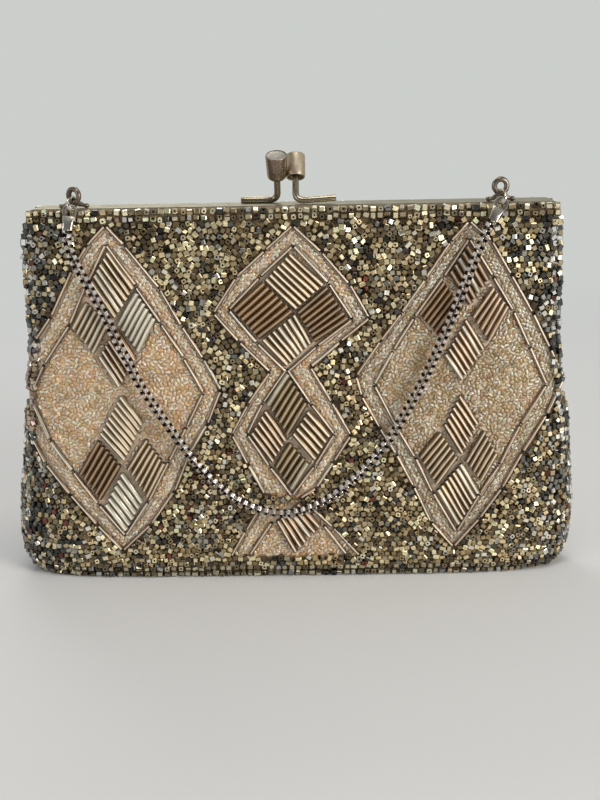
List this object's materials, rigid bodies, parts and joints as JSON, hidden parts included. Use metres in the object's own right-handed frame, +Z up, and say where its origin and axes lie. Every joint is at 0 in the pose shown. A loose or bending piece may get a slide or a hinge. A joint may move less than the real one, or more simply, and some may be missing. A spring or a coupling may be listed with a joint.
{
  "type": "kiss lock frame purse",
  "caption": "Beaded evening purse: a soft pouch on a two-part hinged metal frame with a crossed kiss lock and a box chain handle that swings.",
  "frame": {"origin": "centre of the flat base", "axes": "+Z up, -Y out of the front with the handle, +X to the right as the front is looked at"},
  "size_m": [0.2, 0.037, 0.1574],
  "materials": {
    "beaded_fabric": "fabric sewn all over with silver-lined glass beads",
    "board": "stiff card",
    "lining": "champagne satin",
    "frame_metal": "satin nickel plate, a little tarnished",
    "lock_metal": "polished nickel plate",
    "handle_metal": "polished nickel plate",
    "chain": "polished box chain, darkened between its links",
    "seed_glass": "silver-lined pale gold glass",
    "bugle_glass": "silver-lined topaz glass"
  },
  "bodies": {
    "pouch": {"pouch_front_panel": "beaded_fabric", "pouch_back_panel": "beaded_fabric", "side_edge_left": "beaded_fabric", "side_edge_right": "beaded_fabric", "base_panel": "beaded_fabric", "base_stiffener": "board", "front_fold": "beaded_fabric", "back_fold": "beaded_fabric", "lining_pouch": "lining", "lining_front_fold": "lining", "lining_back_fold": "lining", "slip_pocket": "lining", "hinge_rivet_left": "frame_metal", "hinge_rivet_right": "frame_metal", "hinge_washer_left": "frame_metal", "hinge_washer_right": "frame_metal", "base_edge_beads": "seed_glass", "front_bugles_lower": "bugle_glass", "back_bugles_lower": "bugle_glass", "front_bugles_fold": "bugle_glass", "back_bugles_fold": "bugle_glass"},
    "front_frame": {"front_rail": "frame_metal", "front_retaining_strip": "frame_metal", "front_upper_panel": "beaded_fabric", "lining_front_upper": "lining", "front_edge_beads": "seed_glass", "front_bugles_upper": "bugle_glass", "handle_eye_left": "handle_metal", "handle_eye_right": "handle_metal", "latch_arm_right": "lock_metal", "latch_knob_right": "lock_metal", "latch_disc_right": "lock_metal"},
    "rear_frame": {"rear_rail": "frame_metal", "rear_retaining_strip": "frame_metal", "back_upper_panel": "beaded_fabric", "lining_back_upper": "lining", "back_edge_beads": "seed_glass", "back_bugles_upper": "bugle_glass", "latch_arm_left": "lock_metal", "latch_knob_left": "lock_metal", "latch_disc_left": "lock_metal"},
    "handle_links": {"handle_link_left": "handle_metal", "handle_link_right": "handle_metal"},
    "handle": {"chain_end_left": "handle_metal", "chain_end_right": "handle_metal", "handle_chain": "chain"}
  },
  "joints": [
    {"name": "front_open", "type": "hinge", "parent": "pouch", "child": "front_frame", "pos_m": [0, 0, 0.072], "axis": [1, 0, 0], "range_deg": [0, 45], "deforming": ["front_fold", "lining_front_fold", "front_bugles_fold"]},
    {"name": "rear_open", "type": "hinge", "parent": "pouch", "child": "rear_frame", "pos_m": [0, 0, 0.072], "axis": [-1, 0, 0], "range_deg": [0, 45], "deforming": ["back_fold", "lining_back_fold", "back_bugles_fold"]},
    {"name": "links_hang", "type": "hinge", "parent": "front_frame", "child": "handle_links", "pos_m": [0, -0.0046, 0.1406], "axis": [-1, 0, 0], "range_deg": [0, 45]},
    {"name": "handle_swing", "type": "hinge", "parent": "handle_links", "child": "handle", "pos_m": [0, -0.0124, 0.1396], "axis": [-1, 0, 0], "range_deg": [0, 175]}
  ],
  "couplings": [
    {"joint": "rear_open", "follows": "front_open", "ratio": 1},
    {"joint": "links_hang", "follows": "front_open", "ratio": 1}
  ]
}
